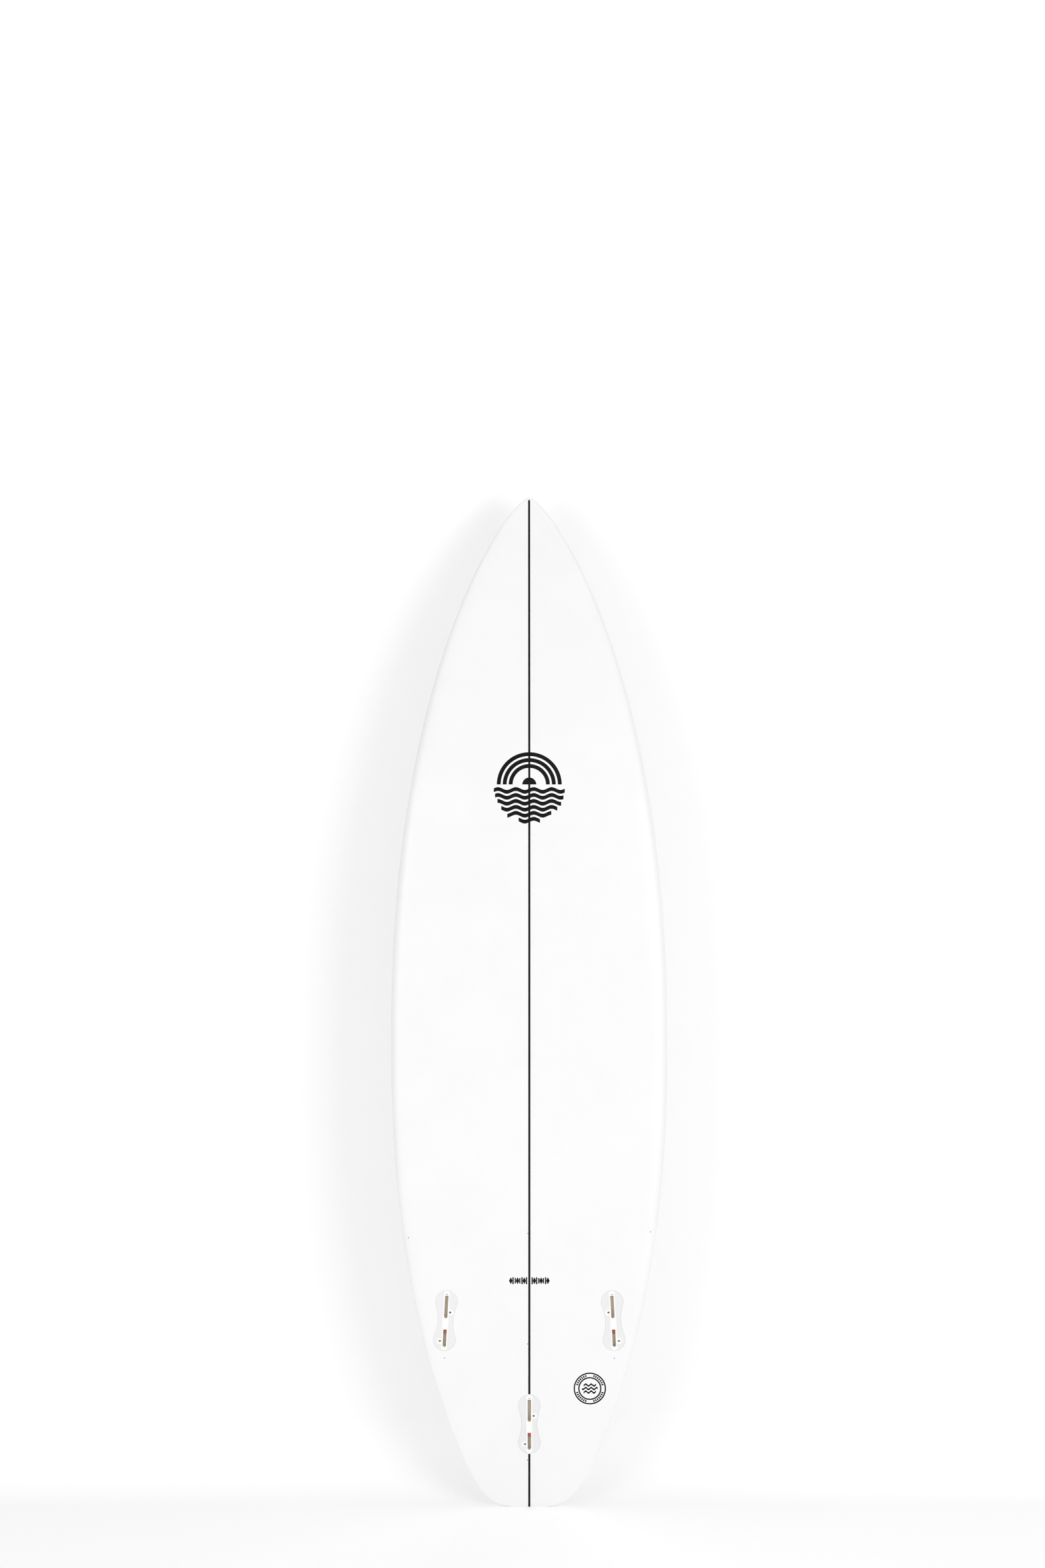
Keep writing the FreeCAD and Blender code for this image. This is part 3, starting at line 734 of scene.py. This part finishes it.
def make_skins():
    ribs = []
    for x, z, toe, flip in BOXES.values():
        ribs.append([on_board(outline, BOTTOM, x, z, toe) for outline in rib_outline(flip, SEAM)])
    cup = [disc(CUP_RADIUS + SEAM, CUP_X, CUP_Z, 96)]
    bottom = skin("bottom_skin", BOTTOM, BOTTOM_INSIDE, ribs, [WHITE_RESIN])
    deck = skin("deck_skin", DECK, DECK_INSIDE, [cup], [WHITE_RESIN])
    add(bottom, "glass_skin", "bottom_glass")
    add(deck, "glass_skin", "deck_glass")


def make_flanges():
    """The fin boxes' flanges, seen grey under the glass with a fine darker edge."""
    for name, (x, z, toe, flip) in BOXES.items():
        local = [dog_bone(), dog_bone(FLANGE_EDGE)] + rib_outline(flip, SEAM)
        outlines = [on_board(outline, BOTTOM, x, z, toe) for outline in local]

        def choose(loops):
            if 0 not in loops or loops & {2, 3, 4}:
                return None
            return 0 if 1 in loops else 1

        shown = patch("flange_seen_" + name, BOTTOM, outlines, choose, [FLANGE_RESIN, FLANGE_LINE])
        add(shown, "box_plastic")


def stringer_strip(start, end):
    return oblong(STRINGER_LINE, end - start, 0.0, 0.5 * (start + end))


def make_stringer_lines():
    """On the bottom the centre fin box cuts the line, and on the deck it runs from end to end."""
    centre = BOXES["centre"][1]
    tail_strip = stringer_strip(0.0, centre - 0.5 * BOX_LENGTH)
    nose_strip = stringer_strip(centre + 0.5 * BOX_LENGTH, LENGTH)
    whole = stringer_strip(0.0, LENGTH)
    for name, surface, strips in (("stringer_line_bottom", BOTTOM, [tail_strip, nose_strip]),
                                  ("stringer_line_deck", DECK, [whole])):
        add(patch(name, surface, strips, odd, [STRINGER_RESIN]), "stringer")


def arc_band(radius, width, start, end, x, z, sides=48):
    outer = arc(radius + 0.5 * width, start, end, x, z, sides)
    inner = arc(radius - 0.5 * width, start, end, x, z, sides)
    return np.concatenate([outer, inner[::-1]])


def wave_band(half_length, width, height, length, x, z, sides=72):
    """A wavy stripe with square ends.  length is that of one wave."""
    along_x = np.linspace(-half_length, half_length, sides)
    line = height * np.sin(2.0 * math.pi * along_x / length)
    top = np.stack([along_x, line + 0.5 * width], 1)
    low = np.stack([along_x, line - 0.5 * width], 1)
    return np.concatenate([low, top[::-1]]) + (x, z)


def make_mark():
    """A rising sun over waves, in thick lines."""
    line, gap = 7.3, 3.7
    pitch = line + gap
    horizon, sun_radius, clear_radius = 6.0, 13.0, 24.0
    wave_height, wave_length, first_wave, wave_rise = 2.6, 33.0, 8.0, 3.0
    largest = MARK_RADIUS - 0.5 * line - horizon
    outlines = [arc_band(radius, line, 0.0, 180.0, 0.0, MARK_Z + horizon)
                for radius in np.arange(largest, clear_radius, -pitch)]
    sun = disc(sun_radius, 0.0, MARK_Z + horizon)
    outlines.append(sun[sun[:, 1] >= MARK_Z + horizon - STEP])
    for depth in np.arange(first_wave, MARK_RADIUS - 1.0, pitch):
        reach = math.sqrt(MARK_RADIUS ** 2 - depth ** 2)
        z = MARK_Z - depth + wave_rise
        outlines.append(wave_band(reach, line, wave_height, wave_length, 0.0, z))
    add(patch("mark_print", BOTTOM, outlines, odd, [INK_RESIN]), "print_paper", "mark_paper")


def make_name():
    """A row of upright strokes and diamonds, each side of the stringer."""
    pitch, first, stroke = 4.1, 5.2, 2.5
    short, slim, margin = 0.76, 0.52, 4.0
    count = int((0.5 * NAME_LENGTH - margin) / pitch) + 1
    outlines = []
    for side in (-1.0, 1.0):
        for i in range(count):
            x = side * (first + i * pitch)
            if i % 3 == 1:
                shape = disc(0.5 * NAME_HEIGHT, 0.0, 0.0, 4) * (slim, 1.0) + (x, NAME_Z)
            else:
                shape = oblong(stroke, NAME_HEIGHT * (1.0, short)[i % 2], x, NAME_Z)
            outlines.append(shape)
    add(patch("name_print", BOTTOM, outlines, odd, [INK_RESIN]), "print_paper", "name_paper")


def make_badge():
    """Two rings with four blocks of ticks between them, and three small waves in the middle."""
    line, tick_height, tick_half_angle, tick_angle = 2.5, 4.0, 2.9, 9.0
    wave_line, wave_height, wave_length = 3.4, 1.7, 10.0
    outlines = []
    for radius in (BADGE_RADIUS, BADGE_INNER):
        outlines += [disc(radius, BADGE_X, BADGE_Z, 96), disc(radius - line, BADGE_X, BADGE_Z, 96)]
    middle = 0.5 * (BADGE_RADIUS + BADGE_INNER - line)
    for quarter in range(4):
        for tick in range(-3, 4):
            angle = 90.0 * quarter + 45.0 + tick_angle * tick
            start, end = angle - tick_half_angle, angle + tick_half_angle
            outlines.append(arc_band(middle, tick_height, start, end, BADGE_X, BADGE_Z, 4))
    for rise, reach in ((-6.5, 11.5), (0.0, 14.5), (6.5, 11.5)):
        z = BADGE_Z + rise
        outlines.append(wave_band(reach, wave_line, wave_height, wave_length, BADGE_X, z))
    add(patch("badge_print", BOTTOM, outlines, odd, [INK_RESIN]), "print_paper", "badge_paper")


def make_pencil_dots():
    outlines = [disc(PENCIL_DOT_RADIUS, x, z, 12) for x, z in PENCIL_DOTS]
    add(patch("pencil_dots", BOTTOM, outlines, odd, [PENCIL_RESIN]), "print_paper")


# ---------------------------------------------------------------- studio

def stage_mesh(name, points, faces, made):
    mesh = bpy.data.meshes.new(name)
    mesh.from_pydata(points, [], faces)
    mesh.materials.append(made)
    mesh.polygons.foreach_set("use_smooth", np.ones(len(faces), bool))
    obj = bpy.data.objects.new(name, mesh)
    bpy.context.scene.collection.objects.link(obj)
    return obj


def make_studio():
    """A white floor that sweeps up into a white wall close behind the board."""
    corners = [(-1.0, -1.0), (1.0, -1.0), (1.0, 1.0), (-1.0, 1.0)]
    floor = [(FLOOR_REACH * x, FLOOR_REACH * y, FLOOR_Z) for x, y in corners]
    stage_mesh("floor", floor, [(0, 1, 2, 3)], studio_look("floor_white", False))
    foot = WALL_Y - SWEEP_RADIUS
    profile = [(foot - SWEEP_LEAD, 0.5 * FLOOR_Z)]
    for i in range(SWEEP_STEPS + 1):
        angle = 0.5 * math.pi * i / SWEEP_STEPS
        rise = SWEEP_RADIUS * (1.0 - math.cos(angle))
        profile.append((foot + SWEEP_RADIUS * math.sin(angle), rise))
    profile.append((WALL_Y, WALL_TOP))
    points = [(x, y, z) for x in (-WALL_REACH, WALL_REACH) for y, z in profile]
    count = len(profile)
    faces = [(i, i + count, i + count + 1, i + 1) for i in range(count - 1)]
    wall = stage_mesh("wall", points, faces, studio_look("wall_white", True))
    wall.visible_shadow = False
    wall.visible_diffuse = False
    wall.visible_glossy = False


def area_light(name, place, target, size, power):
    data = bpy.data.lights.new(name, "AREA")
    data.shape = "RECTANGLE"
    data.size, data.size_y = size
    data.energy = power
    obj = bpy.data.objects.new(name, data)
    obj.location = place
    obj.rotation_mode = "QUATERNION"
    obj.rotation_quaternion = (Vector(target) - Vector(place)).to_track_quat("-Z", "Y")
    bpy.context.scene.collection.objects.link(obj)


def make_lights():
    """A white room, a key from the right, a fill from the left, and one on the deck's side."""
    world = bpy.data.worlds.new("studio")
    bpy.context.scene.world = world
    world.use_nodes = True
    background = world.node_tree.nodes["Background"]
    background.inputs["Color"].default_value = (1.0, 1.0, 1.0, 1.0)
    background.inputs["Strength"].default_value = WORLD_LIGHT
    area_light("key_right", (2.0, -2.7, 1.2), (0.0, 0.1, 0.8), (1.5, 1.8), 26.5)
    area_light("fill_left", (-2.1, -2.7, 1.2), (0.0, 0.1, 0.9), (1.8, 2.0), 18.5)
    area_light("overhead", (0.0, -0.6, 3.4), (0.0, -0.6, 0.0), (3.4, 1.0), 8.5)
    area_light("deck_side", (0.8, 3.0, 1.6), (0.0, 0.0, 0.95), (2.6, 2.2), 14.0)


def make_camera():
    """Nearly level, on the bottom's side, a little to the left of the stringer."""
    data = bpy.data.cameras.new("camera")
    data.sensor_width = 36.0
    data.lens = 54.31
    data.clip_start, data.clip_end = 0.05, 60.0
    obj = bpy.data.objects.new("camera", data)
    obj.location = (-0.0125, -4.4138, 1.1796)
    obj.rotation_euler = (math.radians(92.0), 0.0, 0.0)
    bpy.context.scene.collection.objects.link(obj)
    bpy.context.scene.camera = obj


make_camera()
dress_nodes()
make_skins()
make_flanges()
make_stringer_lines()
make_mark()
make_name()
make_badge()
make_pencil_dots()
make_studio()
make_lights()
bpy.context.scene.view_settings.view_transform = "Standard"
